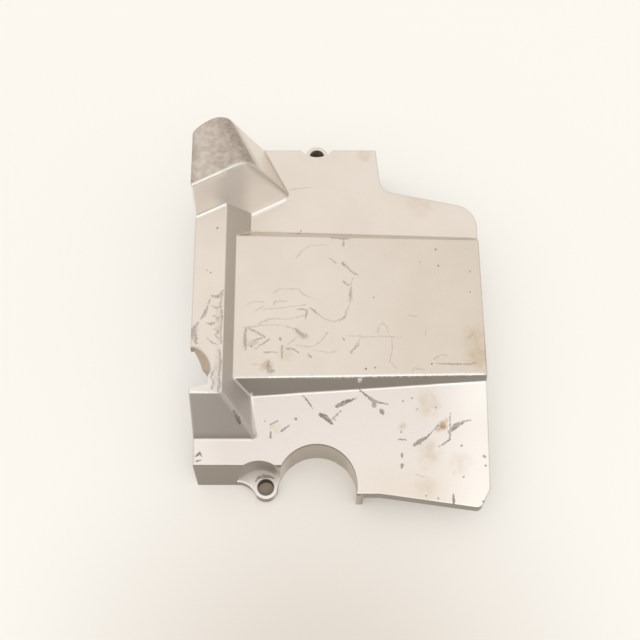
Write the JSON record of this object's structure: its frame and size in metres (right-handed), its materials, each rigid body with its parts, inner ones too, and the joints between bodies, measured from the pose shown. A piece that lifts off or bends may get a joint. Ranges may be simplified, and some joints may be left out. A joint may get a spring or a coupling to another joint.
{
  "type": "motorbike front sprocket cover",
  "caption": "Die-cast cover over a chain-drive sprocket: a hollow plate with a raised panel, a side ridge with a broken edge, a tall boss, a half-round cut-out and bolt lugs.",
  "frame": {"origin": "axis of the lower bolt hole on the mating plane", "axes": "+X towards the chain exit, +Y towards the upper bolt, +Z outwards from the engine"},
  "size_m": [0.1305, 0.1797, 0.061],
  "materials": {
    "silver_paint": "satin silver paint, scratched and worn"
  },
  "bodies": {
    "root": {"sprocket_cover": "silver_paint"}
  },
  "joints": []
}
